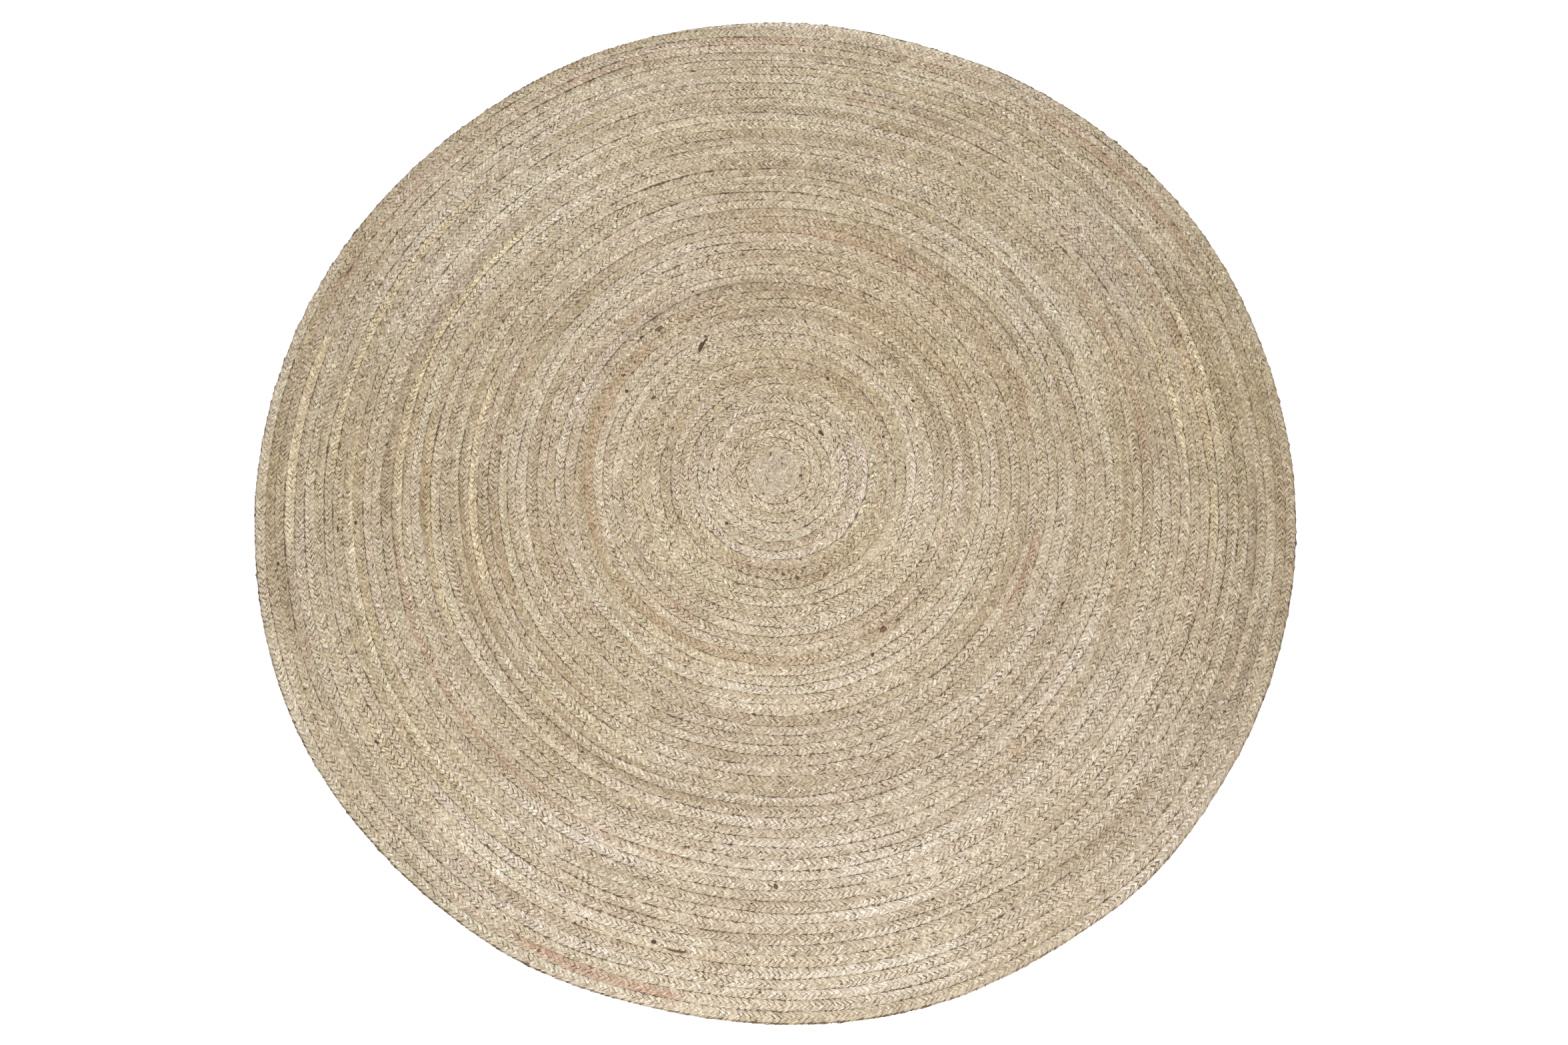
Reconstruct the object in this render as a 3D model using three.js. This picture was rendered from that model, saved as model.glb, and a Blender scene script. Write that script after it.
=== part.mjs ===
// Round braided rug: one flat three-strand jute braid, coiled edge to edge from the
// centre and sewn along its seams. It is one solid, flat underneath, with the coil's
// seams and crests raised in its top. Millimetres, +Z up, underside on z = 0, centre
// of the coil at the origin.
import * as THREE from 'three';

// Driving dimensions
const rugRadius = 750; // mean radius of the outline
const coilTurns = 54; // turns of braid from the centre to the free end
const braidThickness = 8; // underside to crest
const seamDepth = 2.2; // seam between two turns, below the crests
const flatCentreTurns = 4; // turns over which the seam depth grows from nothing
const freeEndAngle = 111; // where the braid's free end lies, degrees from +X
const taperAngle = 24; // angle over which the free end narrows to nothing
const followPower = 2; // how soon, towards the rim, turns take up the outline's shape

// Rounded rim of the outermost turn
const rimShoulderInset = 2.2; // shoulder to outline
const rimSideHeight = 3.6; // height of the widest line
const rimFootInset = 2.6; // foot to outline

// Fineness of the facets
const rimSteps = 76; // steps in the outermost turn
const fewestSteps = 10; // steps in the innermost turn

// Unevenness of the hand-sewn outline: bulges and hollows, joined by smooth steps
const edgeShape = [
  { at: 8, out: -3.5 },
  { at: 38, out: 3 },
  { at: 60, out: 0.5 },
  { at: 70, out: -3.5 },
  { at: 92, out: 2 },
  { at: 108, out: 3.5 },
  { at: 133, out: -3.5 },
  { at: 165, out: -1 },
  { at: 185, out: 0 },
  { at: 208, out: 4 },
  { at: 232, out: -1 },
  { at: 242, out: 0 },
  { at: 258, out: -5 },
  { at: 288, out: 3 },
  { at: 300, out: 1 },
  { at: 311, out: 4.5 },
  { at: 325, out: -0.5 },
  { at: 345, out: -2 },
];

const fullCircle = 360;
const halfTurn = 0.5;
const { degToRad, euclideanModulo, lerp, smoothstep } = THREE.MathUtils;

const shoulderRadius = rugRadius - rimShoulderInset;
const braidPitch = shoulderRadius / (coilTurns + halfTurn);

// How far the outline stands out of, or in from, its mean circle
function edgeRise(angle) {
  const turned = euclideanModulo(angle, fullCircle);
  const next = edgeShape.findIndex((row) => row.at > turned);
  const after = next === -1 ? edgeShape[0] : edgeShape[next];
  const before = next === -1 ? edgeShape.at(-1) : edgeShape.at(next - 1);
  const span = euclideanModulo(after.at - before.at, fullCircle);
  const along = euclideanModulo(turned - before.at, fullCircle) / span;
  return lerp(before.out, after.out, smoothstep(along, 0, 1));
}

// Width of the outermost turn, as a share of the braid: whole, then tapering to the end
function lastTurnWidth(share) {
  return 1 - smoothstep(share, 1 - taperAngle / fullCircle, 1);
}

// Turns from the centre out to the rim's shoulder; share is how much of a turn has
// passed since the angle of the free end
function turnsToShoulder(share) {
  return coilTurns - 1 + share + lastTurnWidth(share);
}

function angleAt(share) {
  return freeEndAngle + share * fullCircle;
}

// Radius of a line on the spiral: an even spiral, drawn towards the outline at the rim
function coilRadius(turns, share) {
  const rimTurns = turnsToShoulder(share);
  const drawn = shoulderRadius + edgeRise(angleAt(share)) - braidPitch * rimTurns;
  return braidPitch * turns + drawn * (turns / rimTurns) ** followPower;
}

function seamHeight(turns) {
  return braidThickness - seamDepth * Math.min(1, turns / flatCentreTurns);
}

const positions = [];
const triangles = [];

function addPoint(radius, share, height) {
  const angle = degToRad(angleAt(share));
  positions.push(radius * Math.cos(angle), radius * Math.sin(angle), height);
  return positions.length / 3 - 1;
}

function addTriangle(a, b, c) {
  if (a !== b && b !== c && c !== a) {
    triangles.push(a, b, c);
  }
}

// Strip of faces between two lines that run the same way, the first nearer the centre.
// Each line is a list of { index, along }; lag shifts the second line's steps back.
function stitch(inner, outer, lag = 0) {
  let i = 0;
  let o = 0;
  while (i < inner.length - 1 || o < outer.length - 1) {
    const innerDone = i === inner.length - 1;
    const outerDone = o === outer.length - 1;
    if (innerDone || (!outerDone && outer[o + 1].along - lag <= inner[i + 1].along)) {
      addTriangle(inner[i].index, outer[o].index, outer[o + 1].index);
      o += 1;
    } else {
      addTriangle(inner[i].index, outer[o].index, inner[i + 1].index);
      i += 1;
    }
  }
}

// Steps along the coil. Their number grows with the square root of the radius, so each
// turn is as close to a true curve as the next.
function coilSteps() {
  const steps = [];
  for (let turn = 0; turn < coilTurns; turn += 1) {
    const evenSteps = Math.round(rimSteps * Math.sqrt((turn + 1) / coilTurns));
    const count = Math.max(fewestSteps, evenSteps);
    for (let step = 0; step < count; step += 1) {
      steps.push({ turn, share: step / count });
    }
  }
  return steps;
}

// Seam line: the inner edge of the braid, from the centre to the free end
function seamLine(steps) {
  const line = steps.map(({ turn, share }) => {
    const turns = turn + share;
    return { index: addPoint(coilRadius(turns, share), share, seamHeight(turns)), along: turns };
  });
  const endIndex = addPoint(coilRadius(coilTurns, 0), 0, seamHeight(coilTurns));
  line.push({ index: endIndex, along: coilTurns });
  return line;
}

// Crest line: the middle of the braid, running into the seam line at the free end
function crestLine(steps, freeEnd) {
  const line = steps.map(({ turn, share }) => {
    const turns = turn + share;
    const width = turn === coilTurns - 1 ? lastTurnWidth(share) : 1;
    const height = lerp(seamHeight(turns), braidThickness, width);
    return { index: addPoint(coilRadius(turns + width / 2, share), share, height), along: turns };
  });
  line.push(freeEnd);
  return line;
}

// One line of the rim, all round, closed on its first point
function rimLine(shares, first, outOfShoulder, height) {
  const line = [{ index: first, along: coilTurns - 1 }];
  for (const share of shares) {
    const radius = coilRadius(turnsToShoulder(share), share) + outOfShoulder;
    line.push({ index: addPoint(radius, share, height), along: coilTurns - 1 + share });
  }
  line.push({ index: first, along: coilTurns });
  return line;
}

function rimPoint(outOfShoulder, height) {
  return addPoint(coilRadius(coilTurns, 0) + outOfShoulder, 0, height);
}

// The small disc inside the first turn's seam, closed against the braid's start
function closeCentre(seam, crest) {
  const firstTurn = seam.filter((point) => point.along <= 1);
  const centre = firstTurn[0].index;
  const last = firstTurn.length - 1;
  for (let step = 1; step < last - 1; step += 1) {
    addTriangle(centre, firstTurn[step].index, firstTurn[step + 1].index);
  }
  addTriangle(centre, firstTurn[last - 1].index, crest[0].index);
  addTriangle(crest[0].index, firstTurn[last - 1].index, firstTurn[last].index);
}

function closeUnderside(foot) {
  const centre = addPoint(0, 0, 0);
  for (let step = 0; step < foot.length - 1; step += 1) {
    addTriangle(centre, foot[step + 1].index, foot[step].index);
  }
}

function rugGeometry() {
  const steps = coilSteps();
  const seam = seamLine(steps);
  const freeEnd = seam.at(-1);
  const crest = crestLine(steps, freeEnd);

  const lastTurn = coilTurns - 1;
  stitch(seam, crest);
  stitch(
    crest.filter((point) => point.along <= lastTurn),
    seam.filter((point) => point.along >= 1),
    1,
  );
  closeCentre(seam, crest);

  const rimShares = steps
    .filter(({ turn, share }) => turn === lastTurn && share > 0)
    .map(({ share }) => share);
  const footOut = rimShoulderInset - rimFootInset;
  const shoulder = rimLine(rimShares, freeEnd.index, 0, seamHeight(coilTurns));
  const sideStart = rimPoint(rimShoulderInset, rimSideHeight);
  const side = rimLine(rimShares, sideStart, rimShoulderInset, rimSideHeight);
  const foot = rimLine(rimShares, rimPoint(footOut, 0), footOut, 0);
  stitch(
    crest.filter((point) => point.along >= lastTurn),
    shoulder,
  );
  stitch(shoulder, side);
  stitch(side, foot);
  closeUnderside(foot);

  const geometry = new THREE.BufferGeometry();
  geometry.setAttribute('position', new THREE.Float32BufferAttribute(positions, 3));
  geometry.setIndex(triangles);
  geometry.computeVertexNormals();
  return geometry;
}

function juteMaterial() {
  return new THREE.MeshStandardMaterial({ color: 0xc2b090, roughness: 0.95, metalness: 0 });
}

const rug = new THREE.Mesh(rugGeometry(), juteMaterial());
rug.name = 'rug';

const model = new THREE.Group();
model.add(rug);

export default model;
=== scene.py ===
import math
import bpy
import numpy as np
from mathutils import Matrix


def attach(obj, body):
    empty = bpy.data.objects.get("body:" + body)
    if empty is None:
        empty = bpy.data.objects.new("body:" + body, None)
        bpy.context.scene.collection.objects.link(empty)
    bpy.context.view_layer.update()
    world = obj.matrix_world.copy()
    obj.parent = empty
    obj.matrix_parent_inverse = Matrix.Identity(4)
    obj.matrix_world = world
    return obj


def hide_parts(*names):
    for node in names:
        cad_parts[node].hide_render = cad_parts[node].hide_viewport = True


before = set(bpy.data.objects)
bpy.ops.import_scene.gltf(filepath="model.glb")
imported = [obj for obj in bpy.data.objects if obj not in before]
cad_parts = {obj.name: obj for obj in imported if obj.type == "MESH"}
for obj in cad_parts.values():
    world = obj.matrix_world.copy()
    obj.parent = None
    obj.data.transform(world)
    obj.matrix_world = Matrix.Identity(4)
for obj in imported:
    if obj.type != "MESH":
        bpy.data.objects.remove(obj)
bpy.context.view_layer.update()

# The coil: one flat plait wound outwards, counter-clockwise seen from above. Metres and degrees.
coil = {
    "radius": 0.750,  # mean radius of the outline
    "turns": 54,  # from the centre to the free end
    "shoulderInset": 0.0022,  # the last seam lies this far inside the outline
    "freeEndAngle": 111.0,  # where the braid ends, degrees from +X
    "taperAngle": 24.0,  # the end narrows to nothing over this angle
    "followPower": 2,  # how soon towards the rim the turns take up the outline
    "wander": 0.0009,  # how far hand sewing lets the seams stray
    "wanderFade": (8, 3),  # turns over which that grows from the centre, and dies down at the rim
    # its waves: height, waves to a turn, drift from turn to turn, start in radians
    "waves": ((1.0, 5, 1.31, 0), (0.7, 11, -1.77, 2), (0.6, 23, 2.3, 4)),
}

# bulges and hollows of the outline: angle in degrees, millimetres out from the mean circle
edgeShape = np.array([
    (8, -3.5), (38, 3), (60, 0.5), (70, -3.5), (92, 2), (108, 3.5), (133, -3.5), (165, -1), (185, 0),
    (208, 4), (232, -1), (242, 0), (258, -5), (288, 3), (300, 1), (311, 4.5), (325, -0.5), (345, -2),
])

shoulderRadius = coil["radius"] - coil["shoulderInset"]
braidPitch = shoulderRadius / (coil["turns"] + 0.5)
taperShare = coil["taperAngle"] / 360


def easeStep(x):
    # 3x^2 - 2x^3 between 0 and 1, level outside
    x = np.clip(x, 0, 1)
    return x * x * (3 - 2 * x)


def edgeRise(angle):
    # smooth steps between the rows of edgeShape, in metres
    at, out = edgeShape[:, 0], edgeShape[:, 1]
    turned = np.mod(angle, 360)
    after = np.searchsorted(at, turned, side="right") % len(at)
    before = after - 1
    along = np.mod(turned - at[before], 360) / np.mod(at[after] - at[before], 360)
    return (out[before] + (out[after] - out[before]) * easeStep(along)) / 1000


def turnWidth(along):
    # share of the full width: 1, falling smoothly to 0 over the taper at the end of the last turn
    share = along - (coil["turns"] - 1)
    return 1 - easeStep((share - 1 + taperShare) / taperShare)


def seamWander(turns, angle):
    # slow waves round the coil that drift from turn to turn, fading at centre and rim
    radians = np.radians(angle)
    waves = sum(height * np.sin(count * radians + drift * turns + start)
                for height, count, drift, start in coil["waves"])
    inner, outer = coil["wanderFade"]
    fade = np.clip(turns / inner, 0, 1) * np.clip((coil["turns"] - turns) / outer, 0, 1)
    return coil["wander"] * waves * fade


def coilPoint(along, across, out=0.0):
    # along: turns from the centre, measured at the inner seam. across: 0 at that seam, 1 at the next.
    # The radius is pitch times turns, drawn to the outline by a share that grows to a power, plus out.
    share = np.mod(along, 1)
    angle = coil["freeEndAngle"] + 360 * share
    turns = along + across * turnWidth(along)
    rimTurns = coil["turns"] - 1 + share + turnWidth(coil["turns"] - 1 + share)
    drawn = shoulderRadius + edgeRise(angle) - braidPitch * rimTurns
    radius = braidPitch * turns + drawn * (np.maximum(turns, 0) / rimTurns) ** coil["followPower"]
    radius = np.maximum(radius + seamWander(turns, angle) + out, 0)
    radians = np.radians(angle)
    return radius * np.cos(radians), radius * np.sin(radians), radius


def turnsAtLength(length):
    # the braid's middle line is 2 pi pitch (turns + 1/2) long per turn, so length is
    # pi pitch ((turns + 1/2)^2 - 1/4)
    return np.sqrt(np.maximum(length, 0) / (math.pi * braidPitch) + 0.25) - 0.5


def lengthAtTurns(turns):
    return math.pi * braidPitch * ((turns + 0.5) ** 2 - 0.25)


def slowNoise(x, spacing, seed):
    # random heights between -1 and 1 at even knots, joined by smooth steps
    knots = np.random.default_rng(seed).uniform(-1, 1, int(np.max(x) / spacing) + 4)
    place = np.maximum(x, 0) / spacing
    low = place.astype(int)
    return knots[low] + (knots[low + 1] - knots[low]) * easeStep(place - low)


def cloudNoise(x, y, spacing, seed):
    # the same on a square grid of knots over the mat
    size = int(2.4 * coil["radius"] / spacing) + 3
    knots = np.random.default_rng(seed).uniform(-1, 1, (size, size))
    acrossX, acrossY = x / spacing + size / 2, y / spacing + size / 2
    i, j = acrossX.astype(int), acrossY.astype(int)
    u, v = easeStep(acrossX - i), easeStep(acrossY - j)
    near = knots[i, j] * (1 - u) + knots[i + 1, j] * u
    far = knots[i, j + 1] * (1 - u) + knots[i + 1, j + 1] * u
    return near * (1 - v) + far * v


def polar(radius, angle):
    return np.stack([radius * np.cos(angle), radius * np.sin(angle)], -1)


def linear(rgb):
    # screen colour 0-255 to linear light
    c = np.asarray(rgb, float) / 255
    return np.where(c <= 0.04045, c / 12.92, ((c + 0.055) / 1.055) ** 2.4)


def addObject(name, data):
    piece = bpy.data.objects.new(name, data)
    bpy.context.scene.collection.objects.link(piece)
    return piece


def towards(colour, tone, share):
    return colour + (tone - colour) * share[:, None]


def makeMesh(name, points, faceSets, smooth=True):
    # faceSets: arrays of corner numbers, three or four corners to a face
    corners = np.concatenate([faces.ravel() for faces in faceSets])
    sizes = np.concatenate([np.full(len(faces), faces.shape[1]) for faces in faceSets])
    starts = np.cumsum(sizes) - sizes
    mesh = bpy.data.meshes.new(name)
    mesh.vertices.add(len(points))
    mesh.vertices.foreach_set("co", np.ascontiguousarray(points, np.float32).ravel())
    mesh.loops.add(len(corners))
    mesh.loops.foreach_set("vertex_index", corners.astype(np.int32))
    mesh.polygons.add(len(sizes))
    mesh.polygons.foreach_set("loop_start", starts.astype(np.int32))
    mesh.polygons.foreach_set("use_smooth", np.full(len(sizes), smooth))
    mesh.update(calc_edges=True)
    return addObject(name, mesh)


def gridQuads(rows, columns):
    # corners of the faces between this many points along and across, facing up
    cells = np.arange(rows - 1)[:, None] * columns + np.arange(columns - 1)[None, :]
    return np.stack([cells, cells + 1, cells + 1 + columns, cells + columns], -1).reshape(-1, 4)


def addFaceColour(piece, colours):
    layer = piece.data.attributes.new("juteTone", "FLOAT_COLOR", "FACE")
    layer.data.foreach_set("color", np.ascontiguousarray(colours, np.float32).ravel())


def plainColours(piece, rgb, grooves):
    return np.tile((*linear(rgb), grooves), (len(piece.data.polygons), 1))


def addStrandMap(piece, uv):
    # one (strand count, place across) pair for each face corner
    piece.data.uv_layers.new(name="strandMap")
    layer = piece.data.uv_layers["strandMap"]
    layer.data.foreach_set("uv", np.ascontiguousarray(uv, np.float32).ravel())


camera = {
    "place": (0.0112, -0.558, 1.8135),
    "dip": 75.0,  # degrees below the horizon
    "lens": 30.06,
    "sensorWidth": 36,  # both in millimetres
}


def makeCamera():
    data = bpy.data.cameras.new("camera")
    data.lens = camera["lens"]
    data.sensor_width = camera["sensorWidth"]
    view = addObject("camera", data)
    view.location = camera["place"]
    view.rotation_euler = (math.radians(90 - camera["dip"]), 0, 0)
    bpy.context.scene.camera = view


lights = {
    # name: place, point it looks at, width and depth in metres, watts
    "nearSide": ((-0.2, -2.0, 2.2), (0.0, 0.0, 0.0), 1.0, 0.8, 47),
    "overhead": ((0.0, -0.7, 2.0), (0.0, -0.7, 0.0), 0.6, 0.5, 21),
    "farSide": ((0.0, 1.3, 2.2), (0.0, 0.6, 0.0), 0.8, 0.8, 34),
}
worldLight = 0.15


def makeLights():
    for name, (place, target, width, depth, watts) in lights.items():
        data = bpy.data.lights.new(name, "AREA")
        data.shape = "RECTANGLE"
        data.size, data.size_y = width, depth
        data.energy = watts
        lamp = addObject(name, data)
        lamp.location = place
        x, y, z = np.subtract(target, place)
        # an area light shines down its own -Z: tip it up, then turn it to the target
        lamp.rotation_euler = (math.atan2(math.hypot(x, y), -z), 0, math.atan2(-x, y))
    world = bpy.data.worlds.new("studio")
    world.use_nodes = True
    background = world.node_tree.nodes["Background"]
    background.inputs["Color"].default_value = (1, 1, 1, 1)
    background.inputs["Strength"].default_value = worldLight
    bpy.context.scene.world = world
    bpy.context.scene.view_settings.view_transform = "Standard"


makeCamera()
makeLights()
print("camera and lights made")

plait = {
    "chevronPitch": 0.0075,  # one strand of each side in this length of braid
    "slant": 0.011,  # a strand runs this far along the braid from edge to middle
    "slantCurve": 1.4,  # over 1: flatter towards the edges
    "seamHeight": 0.0044,
    "relief": 0.0039,  # seam to crest
    "overlap": 0.25,  # a strand crosses the middle by this share of a half width
    "interlock": 0.75,  # how far crests reach over the seam, and grooves draw back,
    "interlockFrom": 0.84,  # from this height of the strand's profile
    "edgeProfile": (2.0, -1.05),  # the profile is steeper at the seams: factor and shift
    "slantStray": 0.25,  # shares by which the slant and the zigzag stray
    "zigzagStray": 0.16,
    "uneven": (3.0, 1.5),  # stations by which it runs ahead or behind: in long waves, in short ones
    "tip": (0.22, 0.14),  # the braid tips to one side: in short waves, in long ones
    "pull": (0.22, 0.16),  # its seams are pulled in: in short waves, in long ones
    "pullFrom": 0.6,  # beyond this share of the half width
    "pieces": 5,  # lengths of braid, each its own mesh
    "wornRadius": 0.036,  # the centre is felted flat inside this radius
    "wornRelief": 0.4,  # share of the relief that is left there
    "wornHeight": 0.75,  # share of the relief at which it lies
    "endHeight": 0.15,  # share of the height at the tip of the free end
    "endGap": 0.004,  # turns that it stops short of the end
    "seed": 11,
}

# each lobe's own values: spread, least and most in spreads. Height, shift and reach are shares, slide
# and lean metres.
lobeSpread = {"height": (0.2, -2.2, 1.2), "shift": (0.05, -1.6, 1.6), "slide": (0.0013, -2, 2),
              "reach": (0.1, -1.8, 1.8), "lean": (0.0024, -2, 2)}

chevronSteps = 4
middleColumn, lastColumn = 3, 6
# across the braid: -1 at the inner seam, 1 at the outer one. The outermost columns reach into the
# neighbouring turn, so that the strands of both interlock.
columnAt = np.array([-1.14, -0.82, -0.36, 0, 0.36, 0.82, 1.14])
columnHeight = np.array([0.53, 0.9, 1.0, 0.54, 1.0, 0.9, 0.53])
# the lobes that the strands show lie in four rows: middle column, columns that belong to it, side, and
# the station of its first crest. Neighbouring rows are half a lobe apart.
lobeRows = ((1, (0, 1), -1, 2), (2, (2,), -1, 0), (4, (4,), 1, 2), (5, (6, 5), 1, 0))
# height round a strand: crest, front shoulder, groove, back shoulder
strandProfile = np.array([1.0, 0.9, 0.66, 0.83])
zigzagHeight = np.array([0.68, 0.5, 0.68, 0.5])
zigzagAt = np.array([1, 0, -1, 0])


def plaitStations():
    step = plait["chevronPitch"] / chevronSteps
    total = int(lengthAtTurns(coil["turns"] - plait["endGap"]) / step)
    number = np.arange(total // chevronSteps * chevronSteps + 1)
    uneven = plait["uneven"][0] * slowNoise(number, 60, 3) + plait["uneven"][1] * slowNoise(number, 17, 4)
    return number, step * (number + uneven)


def lobeFactors(count, seed):
    rng = np.random.default_rng(seed)
    return {key: spread * rng.standard_normal(count).clip(least, most)
            for key, (spread, least, most) in lobeSpread.items()}


def lobeAt(number, crest):
    # which lobe a station belongs to: it runs from two stations before its crest to two after
    return (number - crest + 2) // chevronSteps


def plaitGrid():
    # Height is the seam plus relief times the column's crown times the strand's round profile.
    # Each column slides back along the braid by slant times |across| to a power, so that the
    # rows of the grid run along the strands and meet in chevrons at the middle.
    number, length = plaitStations()
    phase = number % chevronSteps
    across = np.tile(columnAt, (len(number), 1))
    height = np.tile(columnHeight, (len(number), 1))
    slide = np.zeros_like(across)
    edgeFactor, edgeShift = plait["edgeProfile"]
    for row, (_, columns, side, crest) in enumerate(lobeRows):
        lobe = lobeAt(number, crest)
        factors = lobeFactors(lobe.max() + 1, plait["seed"] + row)
        profile = strandProfile[(number - crest) % chevronSteps]
        for column in columns:
            atEdge = column in (0, lastColumn)
            crown = profile * edgeFactor + edgeShift if atEdge else profile
            height[:, column] *= crown * (1 + factors["height"][lobe])
            lean = factors["lean"][lobe] * (abs(columnAt[column]) - 0.5)
            slide[:, column] = factors["slide"][lobe] + lean
            reach = factors["reach"][lobe] + plait["interlock"] * (profile - plait["interlockFrom"])
            across[:, column] += side * reach if atEdge else factors["shift"][lobe]
    across[:, middleColumn] = plait["overlap"] * zigzagAt[phase]
    across[:, middleColumn] += plait["zigzagStray"] * slowNoise(number, 9, 5)
    height[:, middleColumn] = zigzagHeight[phase]
    short, long = plait["tip"]
    tip = short * slowNoise(length, 0.05, 7) + long * slowNoise(length, 0.4, 8)
    height = height + tip[:, None] * across * (1 - 0.5 * np.abs(across))
    short, long = plait["pull"]
    pulled = short * slowNoise(length, 0.05, 9) + long * slowNoise(length, 0.4, 10)
    height = height + np.maximum(np.abs(across) - plait["pullFrom"], 0) * 2 * pulled[:, None]
    slant = plait["slant"] * (1 + plait["slantStray"] * slowNoise(number, 37, 6))
    back = slant[:, None] * np.abs(across) ** plait["slantCurve"]
    along = turnsAtLength(length[:, None] - back + slide)
    x, y, radius = coilPoint(along, (across + 1) / 2)
    # the relief fades into the worn centre, and the height into the free end
    left, tipHeight = plait["wornRelief"], plait["endHeight"]
    worn = left + (1 - left) * easeStep((radius / plait["wornRadius"] - 0.7) / 0.9)
    thin = tipHeight + (1 - tipHeight) * turnWidth(along)
    z = plait["seamHeight"] + plait["relief"] * (height * worn + plait["wornHeight"] * (1 - worn)) * thin
    return number, length, np.stack([x, y, z], -1), across, along


def makePlait(number, across, points, lobeTones):
    columns = len(columnAt)
    total = len(number) - 1
    pieces = []
    cuts = np.linspace(0, total // chevronSteps, plait["pieces"] + 1).astype(int) * chevronSteps
    for index in range(plait["pieces"]):
        first, last = cuts[index], cuts[index + 1]
        quads = gridQuads(last - first + 1, columns)
        piece = makeMesh(f"coil_{index + 1}", points[first:last + 1].reshape(-1, 3), [quads])
        # one colour for each lobe's faces
        faceRows = (0, 1, 1, 2, 2, 3)
        colours = [lobeTones[row][lobeAt(number[first:last], lobeRows[row][-1])] for row in faceRows]
        addFaceColour(piece, np.stack(colours, 1))
        # U counts strands along the braid, V runs across it
        count = np.broadcast_to((number[first:last + 1, None] - number[first]) / chevronSteps,
                                across[first:last + 1].shape)
        strandMap = np.stack([count, across[first:last + 1]], -1).reshape(-1, 2)
        addStrandMap(piece, strandMap[quads.ravel()])
        pieces.append(piece)
    return pieces


jute = {
    "straw": (180, 163, 133),
    "grey": (182, 167, 147),
    "pale": (211, 197, 174),
    "cream": (212, 195, 158),
    "tan": (170, 140, 112),
    "rust": (160, 118, 92),
    "brown": (132, 106, 78),
    "dark": (106, 86, 62),
    "olive": (152, 141, 104),
}
tones = {name: linear(rgb) for name, rgb in jute.items()}

# Lightness of the rings: share of the mean radius, factor.
ringLightness = [(0, 0.88), (0.12, 1.04), (0.3, 1.06), (0.5, 0.97), (0.75, 1.01), (0.88, 1.04), (1, 1.0)]

# Broad soft patches: x, y and reach in metres, tone, strength, added lightness. The tones are the
# mat's own colour; the added lightness is painted light and shade, lighter at top and bottom, darker at the
# sides.
patches = [
    (0.08, -0.54, 0.36, "grey", 0.6, 0.05), (0.5, -0.38, 0.26, "grey", 0.5, 0),
    (0.7, 0.02, 0.3, "straw", 0.1, -0.09), (-0.7, 0, 0.26, "straw", 0.2, -0.06),
    (0, 0.62, 0.3, "straw", 0.15, 0.11), (-0.42, 0.45, 0.25, "straw", 0.15, 0.09),
    (-0.3, 0.02, 0.2, "tan", 0.1, 0), (0.05, 0.3, 0.2, "tan", 0.1, 0.01),
]

# Strands that stand out: share of the mean radius, half width in mm, from and to in degrees, tone,
# strength.
streaks = [
    (0.955, 6, 28, 57, "rust", 0.4), (0.955, 5, 66, 78, "tan", 0.5), (0.955, 6, 84, 162, "rust", 0.38),
    (0.965, 6, 240, 262, "rust", 0.7), (0.95, 5, 329, 346, "dark", 0.6),
    (0.915, 5, 290, 325, "brown", 0.35), (0.79, 5, 0, 25, "cream", 0.75),
    (0.815, 5, 335, 360, "pale", 0.45), (0.838, 5, 348, 360, "cream", 0.75),
    (0.838, 5, 0, 20, "cream", 0.75), (0.862, 5, 0, 28, "cream", 0.75), (0.882, 5, 338, 360, "pale", 0.45),
    (0.915, 6, 325, 360, "dark", 0.42), (0.91, 5, 20, 32, "dark", 0.4), (0.844, 6, 0, 37, "tan", 0.45),
    (0.83, 5, 61, 73, "dark", 0.4), (0.83, 5, 73, 83, "rust", 0.45), (0.74, 5, 0, 31, "brown", 0.35),
    (0.735, 5, 62, 105, "brown", 0.42), (0.744, 5, 125, 188, "brown", 0.4),
    (0.735, 5, 188, 260, "rust", 0.34), (0.715, 5, 0, 35, "rust", 0.35), (0.685, 6, 299, 326, "tan", 0.45),
    (0.675, 5, 180, 226, "dark", 0.28), (0.63, 6, 194, 326, "brown", 0.42), (0.62, 5, 19, 46, "dark", 0.42),
    (0.605, 4, 180, 256, "brown", 0.38), (0.6, 6, 49, 61, "grey", 0.6), (0.56, 5, 60, 110, "dark", 0.35),
    (0.54, 5, 20, 65, "dark", 0.36), (0.51, 9, 14, 27, "rust", 0.36), (0.51, 9, 49, 101, "rust", 0.32),
    (0.505, 6, 326, 348, "rust", 0.55), (0.43, 6, 116, 138, "tan", 0.55), (0.405, 6, 90, 141, "dark", 0.34),
    (0.375, 6, 104, 126, "tan", 0.5), (0.36, 6, 129, 205, "tan", 0.5), (0.36, 6, 224, 286, "tan", 0.42),
    (0.36, 6, 294, 311, "rust", 0.42), (0.33, 3, 0, 111, "dark", 0.32), (0.32, 5, 224, 246, "rust", 0.4),
    (0.305, 5, 180, 251, "dark", 0.34), (0.22, 6, 284, 298, "tan", 0.6), (0.19, 5, 239, 281, "rust", 0.36),
    (0.15, 6, 127, 141, "olive", 0.6), (0.975, 6, 262, 300, "grey", 0.4),
    (0.985, 5, 150, 230, "pale", 0.35), (0.8, 9, 285, 345, "pale", 0.35),
    (0.852, 5, 135, 182, "cream", 0.75), (0.724, 5, 132, 186, "cream", 0.75),
    (0.585, 5, 160, 205, "cream", 0.75), (0.671, 4, 170, 210, "cream", 0.75),
    (0.932, 5, 160, 192, "cream", 0.75), (0.812, 4, 172, 205, "cream", 0.75),
    (0.24, 9, 40, 150, "straw", 0.3), (0.89, 8, 225, 300, "pale", 0.4), (0.45, 8, 250, 330, "pale", 0.35),
]

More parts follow.
